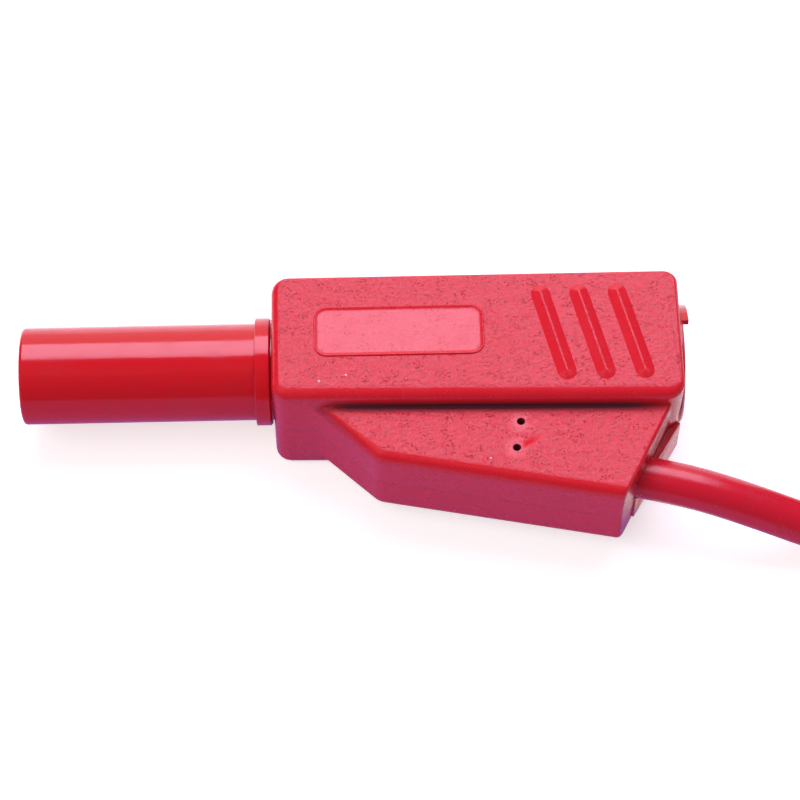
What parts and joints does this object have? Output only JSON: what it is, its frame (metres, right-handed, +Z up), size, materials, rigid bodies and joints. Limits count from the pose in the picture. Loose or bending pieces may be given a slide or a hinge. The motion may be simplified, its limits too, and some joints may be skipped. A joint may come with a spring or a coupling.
{
  "type": "stackable banana plug test lead",
  "caption": "Flexible red test lead with a shrouded stackable 4 mm banana plug on each end, cable leaving the side of the housing, hank strapped.",
  "frame": {"origin": "on the flat underside of the near housing, straight below the plug's axis and near the middle of the housing's length", "axes": "+X from the open shroud towards the rear socket and on along the lead, +Y away from the cable wing, +Z up"},
  "size_m": [0.1918, 0.0326, 0.0121],
  "materials": {
    "moulded_red": "finely grained flat faces, smooth rounded rims",
    "gloss_red": "smooth, glossy",
    "turned_brass": "turned",
    "spring_metal": "bright rolled strip",
    "bare_copper": "bright strands",
    "cable_red": "soft, smooth, slightly glossy jacket",
    "strap_black": "woven hook and loop"
  },
  "bodies": {
    "root": {"housing": "moulded_red", "shroud": "gloss_red", "rear_sleeve": "gloss_red", "contact_pin": "turned_brass", "lamella_cage": "spring_metal", "rear_socket": "turned_brass", "crimp_terminal": "turned_brass", "conductor": "bare_copper", "far_housing": "moulded_red", "far_shroud": "gloss_red", "far_rear_sleeve": "gloss_red", "far_contact_pin": "turned_brass", "far_lamella_cage": "spring_metal", "far_rear_socket": "turned_brass", "far_crimp_terminal": "turned_brass", "far_conductor": "bare_copper", "cable_lead": "cable_red", "cable_hank": "cable_red", "cable_tail": "cable_red", "hank_strap": "strap_black"}
  },
  "joints": []
}
